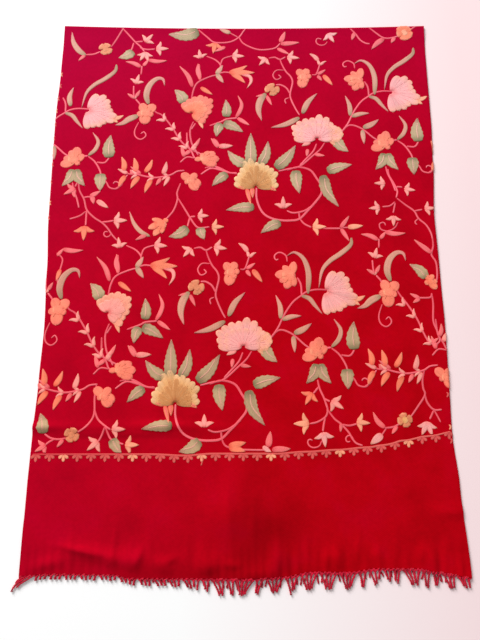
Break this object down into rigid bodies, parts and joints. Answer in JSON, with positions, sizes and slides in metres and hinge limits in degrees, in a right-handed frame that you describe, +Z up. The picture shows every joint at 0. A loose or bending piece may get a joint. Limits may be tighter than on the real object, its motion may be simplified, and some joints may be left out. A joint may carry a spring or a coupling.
{
  "type": "pashmina stole, folded flat",
  "caption": "Red wool pashmina stole with all-over floral chain-stitch embroidery and fringed ends, folded once and laid flat.",
  "frame": {"origin": "middle of the folded stole's underside, where it rests", "axes": "+X across the cloth, +Y along its length towards the fold, so the fringed ends are at -Y, and +Z up"},
  "size_m": [0.714, 1.0294, 0.0082],
  "materials": {
    "shawl_wool": "soft matt twill of fine wool, brushed, deep crimson red",
    "shawl_wool_under": "the same wool on the layer below, in the shade of the fold",
    "fringe_yarn": "twisted warp yarn of the same wool, soft and slightly fuzzy"
  },
  "bodies": {
    "root": {"upper_layer": "shawl_wool", "under_layer": "shawl_wool_under", "upper_fringe": "fringe_yarn", "under_fringe": "fringe_yarn"}
  },
  "joints": []
}
